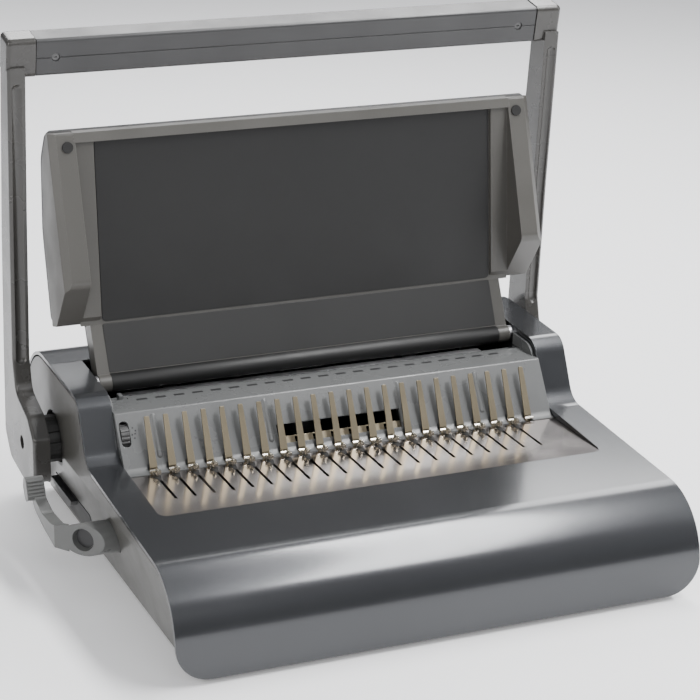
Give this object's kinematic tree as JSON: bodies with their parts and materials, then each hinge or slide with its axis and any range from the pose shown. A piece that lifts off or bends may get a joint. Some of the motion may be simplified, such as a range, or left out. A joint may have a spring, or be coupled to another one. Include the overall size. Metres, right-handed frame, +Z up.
{
  "type": "comb binding machine",
  "caption": "Manual plastic-comb punch and binding machine with upright pull handle, leaning document support, comb fingers and hooks, opening lever and chip drawer.",
  "frame": {"origin": "table plane under the middle of the comb finger row, on the bottom face of the middle foot", "axes": "+X along the comb to the right of someone standing at the front, +Y from the front to the back, +Z up"},
  "size_m": [0.4535, 0.356, 0.3752],
  "materials": {
    "cover_gloss": "metallic grey gloss",
    "casing_grey": "satin warm grey",
    "tower_grey": "satin light grey",
    "lever_grey": "satin light grey",
    "support_grey": "satin grey",
    "support_dark": "satin dark grey",
    "bar_grey": "satin dark grey paint",
    "black_plastic": "matt black",
    "hub_dark": "satin dark grey",
    "wheel_grey": "satin dark grey paint",
    "tray_black": "matt black",
    "rubber": "matt black rubber",
    "polished_plate": "polished",
    "nickel": "satin nickel",
    "steel": "bare steel",
    "brass": "bare brass"
  },
  "bodies": {
    "base": {"base_pan": "black_plastic", "feet": "rubber", "pan_screws": "steel", "front_cover": "cover_gloss", "rear_cover": "cover_gloss", "left_side_casing": "casing_grey", "right_side_casing": "casing_grey", "comb_plate": "polished_plate", "comb_fingers": "nickel", "finger_bar": "steel", "punch_tower": "tower_grey", "window_rail": "nickel", "die_plate": "steel", "punch_guide": "steel", "left_frame_plate": "steel", "right_frame_plate": "steel", "shaft_bushes": "brass", "left_hub_recess": "black_plastic", "right_hub_recess": "black_plastic", "lever_brackets": "steel", "carriage_guides": "steel", "support_hinge_pins": "steel", "handle_return_spring": "steel"},
    "handle": {"cross_shaft": "steel", "punch_cams": "steel", "left_handle_arm": "casing_grey", "right_handle_arm": "casing_grey", "left_handle_hub": "hub_dark", "right_handle_hub": "hub_dark", "handle_crossbar": "bar_grey", "crossbar_screws": "steel"},
    "punch_slide": {"punch_bar": "steel", "punches": "steel"},
    "document_support": {"support_frame": "support_grey", "support_back": "support_dark", "support_bumpers": "rubber"},
    "comb_lever": {"comb_lever": "lever_grey", "lever_cap": "black_plastic", "lever_shaft": "steel", "lever_pinions": "brass"},
    "hook_slide": {"hook_carriage": "steel", "comb_hooks": "nickel"},
    "edge_wheel": {"thumbwheel": "wheel_grey", "lead_screw": "steel"},
    "edge_guide": {"edge_guide": "tower_grey"},
    "drawer": {"chip_drawer": "tray_black", "drawer_grip": "black_plastic"}
  },
  "joints": [
    {"name": "handle_hinge", "type": "hinge", "parent": "base", "child": "handle", "pos_m": [0, 0.102, 0.072], "axis": [1, 0, 0], "range_deg": [0, 90], "stiffness_Nm_per_rad": 0.6, "springref_deg": -28.65},
    {"name": "punch_stroke", "type": "slide", "parent": "base", "child": "punch_slide", "axis": [0, -1, 0], "range_m": [0, 0.0121]},
    {"name": "support_hinge", "type": "hinge", "parent": "base", "child": "document_support", "pos_m": [0, 0.076, 0.12], "axis": [1, 0, 0], "range_deg": [0, 108]},
    {"name": "lever_hinge", "type": "hinge", "parent": "base", "child": "comb_lever", "pos_m": [-0.2, -0.0315, 0.0473], "axis": [1, 0, 0], "range_deg": [0, 90]},
    {"name": "hook_travel", "type": "slide", "parent": "base", "child": "hook_slide", "axis": [0, -1, 0], "range_m": [0, 0.0315]},
    {"name": "edge_wheel_turn", "type": "hinge", "parent": "base", "child": "edge_wheel", "pos_m": [-0.1656, 0.02529, 0.09675], "axis": [1, 0, 0], "range_deg": [-360, 360]},
    {"name": "edge_guide_travel", "type": "slide", "parent": "base", "child": "edge_guide", "axis": [1, 0, 0], "range_m": [-0.0026, 0.0026]},
    {"name": "drawer_slide", "type": "slide", "parent": "base", "child": "drawer", "axis": [-1, 0, 0], "range_m": [0, 0.24]}
  ],
  "couplings": [
    {"joint": "punch_stroke", "follows": "handle_hinge", "m_per_rad": 0.0076394},
    {"joint": "hook_travel", "follows": "lever_hinge", "m_per_rad": 0.02},
    {"joint": "edge_guide_travel", "follows": "edge_wheel_turn", "m_per_rad": 0.00039789}
  ]
}
